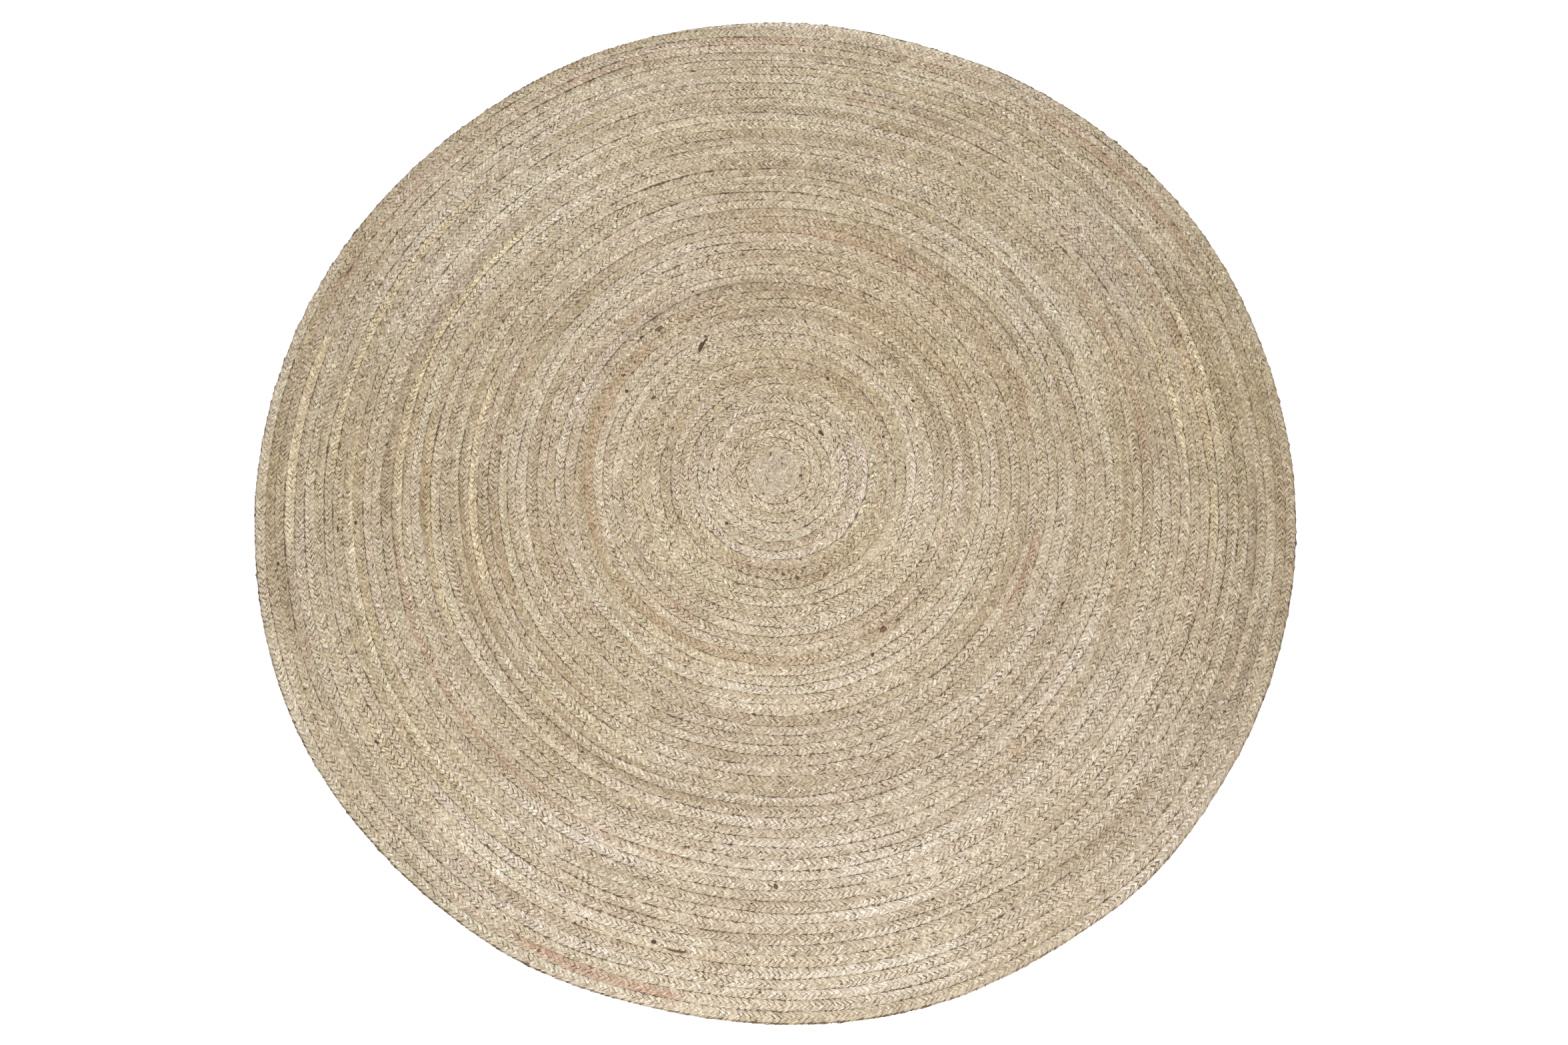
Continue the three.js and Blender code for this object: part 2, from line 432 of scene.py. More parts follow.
# Runs of tone along the plait: shares of lightness, and of grey, tan and pink.
runs = {
    "strand": 0.1,
    "strandLong": 0.06,
    "shared": 0.1,  # by all three strands
    "row": 0.1,  # by each row of lobes alone
    "lobe": 0.06,
    "grey": 0.36,  # share of grey in the straw, and how far it varies
    "greySpread": 0.4,
    "tan": 0.5,
    "pink": (0.014, -0.014, 0.012),
    # powers of the lightness in red, green and blue: darker strands are browner
    "powers": (0.8, 1.0, 1.33),
    "unbroken": 0.6,  # the named streaks drop to this share in single lobes
}


def strandRuns(strand, place, spacing, seed):
    # slow changes along the braid, of each of the three strands on its own
    return np.choose(strand, [slowNoise(place, spacing, seed + own) for own in range(3)])


def strandColours(length, points):
    # One colour a lobe in each of the four rows: straw to grey along each of the three strands and over
    # the mat, tan here and there, the named streaks, lighter and darker runs, and the painted light and
    # shade of the patches.
    result = []
    for row, (column, _, _, crest) in enumerate(lobeRows):
        at = np.arange(0, len(length) + chevronSteps, chevronSteps) + crest
        at = np.minimum(at, len(length) - 1)
        place = length[at]
        x, y = points[at, column, 0], points[at, column, 1]
        radius = np.hypot(x, y) / coil["radius"]
        angle = np.degrees(np.arctan2(y, x)) % 360
        strand = (2 * np.arange(len(at)) + row // 2) % 3
        rng = np.random.default_rng(50 + row)
        each = rng.standard_normal(len(at)).clip(-2.4, 2.4)
        broken = rng.uniform(runs["unbroken"], 1, len(at))
        patchy = rng.standard_normal(len(at))
        own = strandRuns(strand, place, 0.16, 20)
        ownLong = strandRuns(strand, place, 0.9, 30)
        shared = slowNoise(place, 0.4, 40) + 0.6 * cloudNoise(x, y, 0.09, 42)
        greyness = runs["grey"] + runs["greySpread"] * strandRuns(strand, place, 0.5, 60)
        greyness = np.clip(greyness + 0.35 * cloudNoise(x, y, 0.13, 64) + 0.12 * patchy, 0, 1)
        tanness = np.clip(1.5 * strandRuns(strand, place, 0.3, 70) - 1.0 + 0.2 * patchy, 0, 1)
        # each row also has its own runs of lightness and of pink
        rowRuns = 0.9 * slowNoise(place, 0.2, 110 + row) + 0.8 * slowNoise(place, 0.7, 114 + row)
        pinkness = slowNoise(place, 0.16, 120 + row) + 0.6 * slowNoise(place, 0.5, 124 + row)
        pinkness = pinkness + 0.35 * patchy
        worn = 1 - easeStep((radius * coil["radius"] / plait["wornRadius"] - 0.75) / 0.6)
        colour = towards(tones["straw"], tones["grey"], np.maximum(greyness, worn))
        colour = towards(colour, tones["tan"], runs["tan"] * tanness)
        colour = colour * (1 + pinkness[:, None] * np.array(runs["pink"]))
        light = runs["strand"] * own + runs["strandLong"] * ownLong + runs["shared"] * shared
        light = light + runs["row"] * rowRuns + runs["lobe"] * each * (1 - 0.5 * worn)
        light = (1 + light) * np.interp(radius, *np.transpose(ringLightness))
        for patchX, patchY, reach, tone, strength, paintedLight in patches:
            near = np.exp(-((x - patchX) ** 2 + (y - patchY) ** 2) / reach ** 2)
            colour = towards(colour, tones[tone], strength * near)
            # the patch's added lightness is painted light and shade
            light = light * (1 + paintedLight * near)
        for at0, halfWidth, start, stop, tone, strength in streaks:
            # each follows the coil outwards as it goes round
            into = np.mod(angle - start, 360)
            follow = at0 + into / 360 / coil["turns"]
            across = np.exp(-((radius - follow) * coil["radius"] * 1000 / halfWidth) ** 2)
            span = stop - start
            ends = easeStep(into / 4) * easeStep((span - into) / 4) * (into < span)
            colour = towards(colour, tones[tone], strength * across * ends * broken)
        colour = np.clip(colour * light[:, None] ** np.array(runs["powers"]), 0.02, 0.95)
        # the fourth number is how strong the painted shade of the grooves is
        grooveShadeShare = 0.95 + 0.45 * slowNoise(place, 0.11, 90 + row) + 0.25 * slowNoise(place, 0.7, 94 + row)
        result.append(np.column_stack([colour, grooveShadeShare * (1 - 0.7 * worn)]))
    return result


def newMaterial(name):
    material = bpy.data.materials.new(name)
    material.use_nodes = True
    nodes = material.node_tree.nodes
    return material, nodes, material.node_tree.links, nodes["Principled BSDF"]


def setSurface(shader, values):
    for socket, value in values.items():
        shader.inputs[socket].default_value = value


finish = {
    "surface": {"Roughness": 0.74, "Specular IOR Level": 0.34, "Sheen Weight": 0.15, "Sheen Roughness": 0.5},
    "blotchScale": 330.0,  # small blotches, which also make the lines ragged
    "patchScale": 90.0,  # larger patches in which the painted shade of the grooves is darker or lighter
    "patchShadeRange": (0.25, 1.5),
    "fibresPerStrand": 4.0,  # across one strand
    "fibreTurns": 2.4,  # noise steps of a fibre on its way across half the braid
    "fibreLean": 0.5,
    "fibreBump": 0.5,
    "fibreDepth": 0.0006,
    "dashDark": 0.4,  # thin dashes of painted shade between the fibres of a strand
    "rowBorder": 0.58,  # where a side's two rows of lobes meet
    "rowOverlap": 0.17,
    "borderWidth": 0.12,  # the line between the two rows: painted shade, and a groove in the bump
    "borderDark": 0.5,
    "borderDepth": 0.0008,
    "zigzagWidth": 0.14,  # the line of painted shade between the two sides
    "lineRagged": 0.1,
    "seamAt": (0.92, 1.1),  # where the painted shade of the seam starts and is full
    "seamDark": 0.92,
    "seamBend": 0.36,  # how far its edge bends round the lobes
    "crownHighlight": 0.32,  # how much lighter the painted highlight makes the crown of a lobe
    "lobeContrast": 0.24,  # lightness from lobe to lobe
    "warming": (0.9, 1.0, 1.15),  # powers of the lightness, as in runs
    # colour of the painted shade in the grooves, lines and seams
    "creviceShadeTone": (76, 57, 37),
    "creviceMost": 0.92,  # the darkest painted shade goes this far towards that shade tone
    "creviceWidth": 0.14,  # half width, in shares of a strand
    "creviceRagged": 0.16,
    "creviceDark": (0.2, 0.6),  # painted shade in the grooves: the least in a lobe, and how much more there may be
    "meetingDark": (0.6, 0.84),  # painted shade added where a groove meets a line, and along the line itself
}


def juteMaterial(name, lobeDepth):
    # Reads the strand map: U counts strands. The two sides meet at a zigzag of
    # V = overlap (4 |frac U - 1/2| - 1), and each side's two rows of lobes at a like zigzag about
    # |V| = rowBorder. Next to each other, rows are half a strand apart.
    material, nodes, links, shader = newMaterial(name)

    def feed(node, values, sockets=None):
        # a plain value stays on its socket, anything else is linked to it
        for socket, value in zip(sockets or node.inputs, values):
            if isinstance(value, (int, float, tuple)):
                socket.default_value = value
            else:
                links.new(value, socket)
        return node

    def math2(operation, *values):
        node = nodes.new("ShaderNodeMath")
        node.operation = operation
        return feed(node, values).outputs[0]

    def times(a, b):
        return math2("MULTIPLY", a, b)

    def timesPlus(a, b, c):
        return math2("MULTIPLY_ADD", a, b, c)

    def minus(a, b):
        return math2("SUBTRACT", a, b)

    def distance(a, b):
        return math2("ABSOLUTE", minus(a, b))

    def fromHalf(value):
        # 0 halfway between two whole numbers, 1/2 at them
        return distance(math2("FRACT", value), 0.5)

    def ramp(value, low, high, start, stop):
        node = nodes.new("ShaderNodeMapRange")
        node.interpolation_type = "SMOOTHSTEP"
        return feed(node, (value, low, high, start, stop)).outputs[0]

    def noise(at, scale):
        node = nodes.new("ShaderNodeTexNoise")
        sockets = [node.inputs[key] for key in ("Vector", "Scale", "Detail", "Roughness")]
        return feed(node, (at, scale, 3.0, 0.6), sockets).outputs["Fac"]

    def vector(*parts):
        return feed(nodes.new("ShaderNodeCombineXYZ"), parts).outputs[0]

    tone = nodes.new("ShaderNodeAttribute")
    tone.attribute_name = "juteTone"
    strandMap = nodes.new("ShaderNodeUVMap")
    strandMap.uv_map = "strandMap"
    split = nodes.new("ShaderNodeSeparateXYZ")
    links.new(strandMap.outputs["UV"], split.inputs[0])
    place = nodes.new("ShaderNodeTexCoord").outputs["Object"]
    count, across = split.outputs[0], split.outputs[1]
    # which side, which row of it, which lobe, and how far from its groove
    zigzag = timesPlus(fromHalf(count), 4 * plait["overlap"], -plait["overlap"])
    outerSide = math2("GREATER_THAN", across, zigzag)
    fromMiddle = math2("ABSOLUTE", across)
    sideCount = timesPlus(outerSide, 0.5, count)
    border = timesPlus(fromHalf(sideCount), 4 * finish["rowOverlap"],
                       finish["rowBorder"] - finish["rowOverlap"])
    outerRow = math2("GREATER_THAN", fromMiddle, border)
    turned = timesPlus(outerRow, 0.5, sideCount)
    fromGroove = fromHalf(turned)
    # a number of its own for each lobe, and three random values from it
    lobeNumber = timesPlus(outerSide, 0.37, math2("FLOOR", math2("ADD", turned, 0.5)))
    lobeNumber = timesPlus(outerRow, 0.19, lobeNumber)
    own = nodes.new("ShaderNodeTexWhiteNoise")
    own.noise_dimensions = "1D"
    links.new(lobeNumber, own.inputs["W"])
    ownSplit = nodes.new("ShaderNodeSeparateColor")
    links.new(own.outputs["Color"], ownSplit.inputs[0])
    ownLean, ownShading, ownLight = ownSplit.outputs
    # fibres run along the strand, leaning a little, more in some lobes than in others
    lean = times(minus(ownLean, 0.5), finish["fibreLean"])
    leaning = timesPlus(across, lean, count)
    fibreAt = vector(times(leaning, finish["fibresPerStrand"]),
                     times(across, finish["fibreTurns"]), times(lobeNumber, 3.7))
    fibre = noise(fibreAt, 1.0)
    blotch = noise(place, finish["blotchScale"])
    patch = noise(place, finish["patchScale"])

    def ragged(value, amount):
        return timesPlus(minus(blotch, 0.5), amount, value)

    # painted shade in the grooves between strands, along the zigzag and at the seams; darkest where they
    # meet
    groove = ramp(ragged(fromGroove, finish["creviceRagged"]), 0.0, finish["creviceWidth"], 1.0, 0.0)
    toZigzag = distance(across, zigzag)
    middle = ramp(ragged(toZigzag, finish["lineRagged"]), 0.0, finish["zigzagWidth"], 1.0, 0.0)
    lobed = timesPlus(minus(0.5, fromGroove), finish["seamBend"], fromMiddle)
    seam = ramp(ragged(lobed, finish["creviceRagged"]), *finish["seamAt"], 0.0, finish["seamDark"])
    leastDark, moreDark = finish["creviceDark"]
    lines = times(groove, timesPlus(ownShading, moreDark, leastDark))
    toBorder = ragged(distance(fromMiddle, border), finish["lineRagged"])
    between = ramp(toBorder, 0.0, finish["borderWidth"], finish["borderDark"], 0.0)
    ends = math2("MAXIMUM", math2("MAXIMUM", middle, seam), between)
    crossingDark, lineDark = finish["meetingDark"]
    paintedShade = timesPlus(groove, times(ends, crossingDark), lines)
    paintedShade = timesPlus(ends, lineDark, paintedShade)
    paintedShade = times(paintedShade, ramp(patch, 0.34, 0.66, *finish["patchShadeRange"]))
    # the tone's fourth number sets how strong this painted shade is
    paintedShade = times(paintedShade, tone.outputs["Alpha"])
    # thin dashes of painted shade between the fibres
    dashes = ramp(fibre, 0.32, 0.41, finish["dashDark"], 0.0)
    paintedShade = math2("MAXIMUM", paintedShade, times(dashes, timesPlus(ownShading, 1.1, 0.2)))
    # painted highlight on the crowns: the middle of each lobe
    inside = math2("MINIMUM", math2("MINIMUM", toZigzag, toBorder), minus(1.08, lobed))
    crown = times(ramp(fromGroove, 0.24, 0.46, -0.35, 1.0), ramp(inside, 0.03, 0.18, 0.0, 1.0))
    crown = times(crown, timesPlus(ownShading, -0.6, 1.0))
    # lightness of the fibres: soft streaks, a few dark ones, and a few bright ones that are painted glints
    soft = ramp(fibre, 0.28, 0.72, 0.80, 1.18)
    fibreGlint = ramp(fibre, 0.58, 0.70, 0.0, 0.34)
    shade = times(math2("ADD", soft, fibreGlint), ramp(blotch, 0.30, 0.70, 0.82, 1.18))
    contrast = finish["lobeContrast"]
    shade = times(shade, timesPlus(ownLight, contrast, 1 - contrast / 2))
    shade = times(shade, timesPlus(crown, finish["crownHighlight"], 1.0))
    red, green, blue = (math2("POWER", shade, power) for power in finish["warming"])
    scaled = nodes.new("ShaderNodeVectorMath")
    scaled.operation = "MULTIPLY"
    feed(scaled, (tone.outputs["Color"], vector(red, green, blue)))
    # the painted shade pulls the colour towards the shade tone
    mixed = nodes.new("ShaderNodeMix")
    mixed.data_type = "RGBA"
    paintedShadeMost = math2("MINIMUM", paintedShade, finish["creviceMost"])
    creviceShadeColour = tuple(linear(finish["creviceShadeTone"])) + (1.0,)
    sockets = (mixed.inputs["Factor"], mixed.inputs[6], mixed.inputs[7])
    feed(mixed, (paintedShadeMost, scaled.outputs[0], creviceShadeColour), sockets)
    links.new(mixed.outputs[2], shader.inputs["Base Color"])
    # relief: the fibres and the lines between rows, and on flat ribs the strands as well
    relief = times(fibre, finish["fibreDepth"])
    relief = timesPlus(between, -finish["borderDepth"], relief)
    if lobeDepth:
        lobeRound = math2("SQRT", math2("MINIMUM", times(fromGroove, 2.4), 1.0))
        relief = timesPlus(minus(lobeRound, ends), lobeDepth, relief)
    bump = nodes.new("ShaderNodeBump")
    bump.inputs["Strength"].default_value = finish["fibreBump"]
    bump.inputs["Distance"].default_value = 1.0
    links.new(relief, bump.inputs["Height"])
    links.new(bump.outputs[0], shader.inputs["Normal"])
    setSurface(shader, finish["surface"])
    return material


number, length, points, across, along = plaitGrid()
lobeTones = strandColours(length, points)
plaitPieces = makePlait(number, across, points, lobeTones)
print("plait laid:", sum(len(piece.data.polygons) for piece in plaitPieces), "faces")

rim = {
    # columns down the side: metres out from the last column, height, how far round the strand has gone
    "columns": ((0.0012, 0.0043, 1.32), (0.0016, 0.0024, 1.55),
                (0.0004, 0.0007, 1.78), (-0.0040, 0.0003, 2.1)),
    "scallop": 0.15,  # share by which the strands' grooves cut into the side
    "reach": 1.07,  # across the braid, where the side starts
    "reachFollow": 0.18,  # share in which it follows the last column's own reach
    "slantShare": 0.6,  # of the plait's slant
    "slantFrom": 1.13,  # how far round the strand it starts
    "mapLimit": 0.9,  # keeps the side out of the painted shade of the seam
}


def makeRim():
    # The strands of the last turn go on over the side and under: the profile of rim["columns"] carried
    # along the outer edge, each column further back along the braid, its bulge times the strand profile.
    first = int(np.argmax(along[:, lastColumn] >= coil["turns"] - 1))
    crest = lobeRows[-1][-1]
    profile = strandProfile[(number[first:] - crest) % chevronSteps]
    scallop = 1 - rim["scallop"] + rim["scallop"] * profile
    edge = across[first:, lastColumn]
    reach = rim["reach"] + rim["reachFollow"] * (edge - columnAt[lastColumn])
    rings = [points[first:, lastColumn]]
    places = [edge]
    for out, height, turned in rim["columns"]:
        back = plait["slant"] * rim["slantShare"] * (turned - rim["slantFrom"])
        onwards = turnsAtLength(lengthAtTurns(along[first:, lastColumn]) - back)
        bulge = out * scallop if out > 0 else out
        x, y, _ = coilPoint(np.maximum(onwards, coil["turns"] - 1), reach, bulge)
        rings.append(np.stack([x, y, height * scallop], -1))
        places.append(np.full(len(profile), turned))
    grid = np.stack(rings, 1)
    columns = grid.shape[1]
    quads = gridQuads(len(profile), columns)
    piece = makeMesh("rimStrands", grid.reshape(-1, 3), [quads])
    colours = lobeTones[-1][lobeAt(number[first:-1], crest)]
    addFaceColour(piece, np.repeat(colours[:, None, :], columns - 1, axis=1))
    start = number[first] // chevronSteps * chevronSteps
    count = np.broadcast_to(((number[first:] - start) / chevronSteps)[:, None], grid.shape[:2])
    strandMap = np.stack([count, np.minimum(np.stack(places, 1), rim["mapLimit"])], -1).reshape(-1, 2)
    addStrandMap(piece, strandMap[quads.ravel()])
    return piece


rimStrands = makeRim()
print("rim strands laid:", len(rimStrands.data.polygons), "faces")

underside = {
    "stepsPerTurn": 180,
    "top": 0.0044,  # hidden under the plait
    "seamRise": 0.0016,  # the seams lie this far off the floor
    "middleRise": 0.0007,
    "flatRadius": 0.02,  # both rises fade to nothing inside this radius
    "rimAcross": 0.86,  # the body ends this far across the last turn, inside the rim strands
    "tone": (188, 170, 140),
    "toneSpread": (0.08, 0.06),  # in clouds, and in runs along the braid
    "lobeDepth": 0.0016,
    "plainPlace": (0.25, 0.4),  # a place of the strand map without grooves, for the wall and the top
}


def makeUnderside():
    # Rows are spiral turns, four to a turn of braid, at the heights seam, crest, middle, crest, and a
    # last one at the rim. A row's end is the start of the row four further out. A fan closes the
    # centre, a wall the rim, and a level fan is the top.
    steps = underside["stepsPerTurn"]
    turns = coil["turns"]
    rimRow = 4 * turns
    rows = np.arange(rimRow + 1)
    turn = np.minimum(rows // 4, turns - 1)
    acrossAt = np.where(rows == rimRow, underside["rimAcross"], (rows % 4) / 4)
    share = np.arange(steps) / steps
    x, y, radius = coilPoint(turn[:, None] + share, acrossAt[:, None] + 0 * share)
    lift = np.array([underside["seamRise"], 0, underside["middleRise"], 0])[rows % 4]
    z = lift[:, None] * np.clip(radius / underside["flatRadius"], 0, 1)
    body = np.stack([x, y, z], -1)
    topRing = body[rimRow].copy()
    topRing[:, 2] = underside["top"]
    grid = np.concatenate([body.reshape(-1, 3), topRing, [(0, 0, underside["top"])]])

    def corner(row, step):
        # number of a grid point; one past the end of a row is the start of the row a turn out
        over = step == steps
        return np.where(over, np.minimum(row + 4, rimRow), row) * steps + np.where(over, 0, step)

    row, step = np.meshgrid(np.arange(rimRow), np.arange(steps), indexing="ij")
    row, step = row.ravel(), step.ravel()
    closing = (row >= rimRow - 4) & (step == steps - 1)
    bandRow, bandStep = row[~closing], step[~closing]
    band = np.stack([corner(bandRow, bandStep), corner(bandRow, bandStep + 1),
                     corner(bandRow + 1, bandStep + 1), corner(bandRow + 1, bandStep)], -1)
    endRow = np.arange(rimRow - 4, rimRow)
    end = np.stack([corner(endRow, steps - 1), corner(endRow, steps), corner(endRow + 1, steps - 1)], -1)
    around = np.arange(1, steps - 1)
    centre = np.stack([0 * around, around + 1, around], -1)
    inward = np.arange(4)[::-1]
    centreEnd = np.stack([0 * inward + steps - 1, inward * steps, (inward + 1) * steps], -1)
    ring = np.arange(steps)
    ringNext = (ring + 1) % steps
    rimAt, topAt = rimRow * steps, (rimRow + 1) * steps
    wall = np.stack([rimAt + ring, rimAt + ringNext, topAt + ringNext, topAt + ring], -1)
    top = np.stack([0 * ring + topAt + steps, topAt + ring, topAt + ringNext], -1)
    piece = makeMesh("underside", grid, [band, wall, end, centre, centreEnd, top])
    # strand map of the ribs: chevrons slanting as on the upper side
    cornerShare = (bandStep[:, None] + np.array([0, 1, 1, 0])) / steps
    cornerAcross = (bandRow % 4)[:, None] / 2 + np.array([0, 0, 0.5, 0.5]) - 1
    alongBand = lengthAtTurns(bandRow[:, None] // 4 + cornerShare)
    alongBand = alongBand - lengthAtTurns(bandRow // 4)[:, None] + plait["slant"] * np.abs(cornerAcross)
    uv = np.stack([alongBand / plait["chevronPitch"], cornerAcross], -1).reshape(-1, 2)
    otherCorners = sum(faces.size for faces in (wall, end, centre, centreEnd, top))
    flat = np.tile(underside["plainPlace"], (otherCorners, 1))
    addStrandMap(piece, np.concatenate([uv, flat]))
    colours = plainColours(piece, underside["tone"], 1)
    middle = grid[band].mean(1)
    clouds, strips = underside["toneSpread"]
    light = 1 + clouds * cloudNoise(middle[:, 0], middle[:, 1], 0.05, 81)
    light = light + strips * slowNoise(alongBand.mean(1) + 5 * (bandRow // 4), 0.21, 82)
    colours[:len(band), :3] *= light[:, None]
    addFaceColour(piece, colours)
    return piece


undersidePiece = makeUnderside()
print("underside made:", len(undersidePiece.data.polygons), "faces")

knot = {
    "radius": 0.0165,
    "top": 0.0071,
    "bottom": 0.0046,
    "rings": 9,
    "steps": 40,
    "furrow": 0.0003,  # height of the felted spiral furrows
    "furrowPitch": 0.005,
    "fibrePitch": 0.006,  # from fibre to fibre in the strand map
    "sink": 0.0003,  # its flat lower side lies this far inside the body
    "grooves": 0.1,  # how strong the painted shade of the surface's grooves is
}


def makeCentreKnot():
    # A low felted dome closes the eye of the coil. Height over radius r is bottom plus the rise times
    # (1 - (r/R)^4), with a spiral furrow that dies down in the last millimetre of the rise.
    rings, steps = knot["rings"], knot["steps"]
    share = np.linspace(0, 1, rings + 1)[1:]
    angle = np.arange(steps) / steps * 2 * math.pi
    r, a = np.meshgrid(share * knot["radius"], angle, indexing="ij")
    rise = (knot["top"] - knot["bottom"]) * (1 - (r / knot["radius"]) ** 4)
    furrow = knot["furrow"] * np.sin(r / knot["furrowPitch"] * 2 * math.pi - a)
    furrow = furrow * np.minimum(rise / 0.001, 1)
    dome = np.dstack([polar(r, a), knot["bottom"] + rise + furrow])
    base = dome[-1].copy()
    base[:, 2] = underside["top"] - knot["sink"]
    poles = [(0, 0, knot["top"]), (0, 0, underside["top"] - knot["sink"])]
    grid = np.concatenate([dome.reshape(-1, 3), base, poles])
    ring = np.arange(steps)
    after = (ring + 1) % steps
    inner = np.arange(rings)[:, None] * steps
    quads = np.stack([inner + ring, inner + steps + ring, inner + steps + after, inner + after], -1)
    quads = quads.reshape(-1, 4)
    poleTop, poleBase = len(grid) - 2, len(grid) - 1
    cap = np.stack([0 * ring + poleTop, ring, after], -1)
    under = np.stack([0 * ring + poleBase, rings * steps + after, rings * steps + ring], -1)
    piece = makeMesh("centreKnot", grid, [quads, cap, under])
    addFaceColour(piece, plainColours(piece, jute["grey"], knot["grooves"]))
    # the fibres lie along the coil: U counts them outwards, V goes round in radians
    x, y = grid[:, 0], grid[:, 1]
    uv = np.stack([np.hypot(x, y) / knot["fibrePitch"], np.arctan2(y, x)], -1)
    corners = np.concatenate([quads.ravel(), cap.ravel(), under.ravel()])
    addStrandMap(piece, uv[corners])
    return piece


knotPiece = makeCentreKnot()
print("centre knot made:", len(knotPiece.data.polygons), "faces")


def makeSpindles(name, centre, direction, length, halfWidth, halfHeight, bend, low, arch, colours,
                 sides, rings):
    # Closed spindles in one mesh. At share t of the length the middle line has gone (t - 1/2) length
    # forward, bend 4t(1-t) length sideways and arch 4t(1-t) up; the section is an ellipse whose size
    # goes as the root of 4t(1-t), so both ends are points.
    t = np.linspace(0, 1, rings + 2)
    swell = 4 * t * (1 - t)
    forward = np.column_stack([polar(1, direction), 0 * direction])[:, None]
    sideways = forward[..., [1, 0, 2]] * (-1, 1, 1)
    up = np.array([0, 0, 1.0])
    line = np.column_stack([centre, low])[:, None]
    line = line + forward * (length[:, None] * (t - 0.5))[..., None]
    line = line + sideways * ((bend * length)[:, None] * swell)[..., None]
    line = line + up * (arch[:, None] * swell)[..., None]
    turn = np.arange(sides) / sides * 2 * math.pi
    thick = np.sqrt(swell[1:-1])[:, None]
    wide = (halfWidth[:, None, None] * thick * np.cos(turn))[..., None]
    high = (halfHeight[:, None, None] * thick * np.sin(turn))[..., None]
    body = line[:, 1:-1, None] + wide * sideways[:, :, None] + high * up
    points = np.concatenate([body.reshape(len(centre), -1, 3), line[:, :1], line[:, -1:]], 1)
    first = np.arange(len(centre))[:, None] * (rings * sides + 2)
    ring = np.arange(sides)
    after = (ring + 1) % sides
    rows = np.arange(rings - 1)[:, None] * sides
    here, there = (rows + ring).ravel(), (rows + after).ravel()
    quads = np.stack([first + here, first + there, first + there + sides, first + here + sides], -1)
    tip = first + rings * sides + 0 * ring
    last = first + (rings - 1) * sides
    startTip = np.stack([tip, first + after, first + ring], -1)
    endTip = np.stack([last + ring, last + after, tip + 1], -1)
    faceSets = [quads.reshape(-1, 4), startTip.reshape(-1, 3), endTip.reshape(-1, 3)]
    piece = makeMesh(name, points.reshape(-1, 3), faceSets)
    tone = np.column_stack([colours, np.ones(len(colours))])
    addFaceColour(piece, np.concatenate([np.repeat(tone, len(faces) // len(tone), 0) for faces in faceSets]))
    return piece


# Bits of bark caught in the plait: x, y, length and width in millimetres, angle in degrees, tone.
flecks = [
    (-110, 195, 20, 6, 65, "dark"), (-105, 205, 9, 3, 40, "dark"), (65, 60, 12, 4.5, 135, "dark"),
    (35, -5, 6, 3, 20, "dark"), (-90, 5, 6, 3.5, 100, "dark"), (75, 145, 7, 4, 110, "dark"),
    (-180, 115, 9, 4.5, 35, "brown"), (155, 55, 6, 3, 60, "dark"), (200, 110, 6, 3.5, 150, "dark"),
    (30, -155, 9, 4.5, 120, "brown"), (70, -150, 13, 3, 40, "tan"), (10, -150, 7, 3.5, 140, "brown"),
    (-545, -385, 9, 3, 150, "dark"), (-70, -75, 6, 4.5, 125, "dark"), (-600, -75, 7, 4, 80, "dark"),
    (-625, -85, 10, 3, 95, "dark"), (-705, -135, 7, 4, 100, "dark"), (-160, -645, 8, 5, 170, "dark"),
    (-130, -655, 34, 2.5, 170, "brown"), (0, -575, 8, 4.5, 120, "brown"), (435, 350, 9, 4, 130, "rust"),
    (-220, 125, 6, 5, 115, "dark"), (-225, 150, 6, 3, 60, "dark"), (-175, 225, 14, 6, 35, "rust"),
    (-200, 210, 7, 3.5, 50, "dark"), (170, -215, 8, 4, 30, "rust"), (150, -230, 12, 6, 25, "rust"),
    (135, -265, 7, 3.5, 60, "dark"),
]
bark = {
    "thickness": 0.0015,
    "low": 0.0086,  # height of their ends, which sink into the crests
    "lowSpread": 0.0003,
    "bend": 0.12,  # share of the length
    "arch": (0.0001, 0.0006),
    "shade": 0.5,  # share of the tone's lightness
    "small": 520,  # random ones besides the named
    "smallLengths": (3, 7),  # millimetres
    "smallWidths": (0.9, 2.0),
    "smallLean": 50,  # degrees off the braid, at most
    "smallShade": 0.45,
    "smallReach": 0.97,  # share of the radius in which they lie
    "smallCrowding": 0.62,  # 0.5 spreads them evenly, more crowds them at the centre
    "seed": 71,
}


def makeFlecks():
    # the named flecks, and small ones, denser near the centre and lying roughly along the braid
    rng = np.random.default_rng(bark["seed"])
    named = np.array([row[:5] for row in flecks])
    small = bark["small"]
    share = rng.uniform(0, 1, small) ** bark["smallCrowding"]
    radius = bark["smallReach"] * coil["radius"] * share
    angle = rng.uniform(0, 2 * math.pi, small)
    smallCentre = polar(radius, angle)
    lean = 90 + rng.uniform(-bark["smallLean"], bark["smallLean"], small)
    smallLength = rng.uniform(*bark["smallLengths"], small)
    smallWidth = rng.uniform(*bark["smallWidths"], small)
    mixed = towards(tones["brown"], tones["dark"], rng.uniform(0, 1.4, small))
    shade = np.array([tones[row[5]] for row in flecks])
    centre = np.concatenate([named[:, :2] / 1000, smallCentre])
    direction = np.concatenate([np.radians(named[:, 4]), angle + np.radians(lean)])
    length = np.concatenate([named[:, 2], smallLength]) / 1000
    width = np.concatenate([named[:, 3], smallWidth]) / 1000
    colours = np.concatenate([shade * bark["shade"], mixed * bark["smallShade"]])
    count = len(centre)
    thick = np.full(count, bark["thickness"] / 2)
    low = bark["low"] + rng.uniform(-bark["lowSpread"], bark["lowSpread"], count)
    bend = rng.uniform(-bark["bend"], bark["bend"], count)
    arch = rng.uniform(*bark["arch"], count)
    return makeSpindles("barkFlecks", centre, direction, length, width / 2, thick, bend, low, arch,
                        colours, sides=6, rings=3)


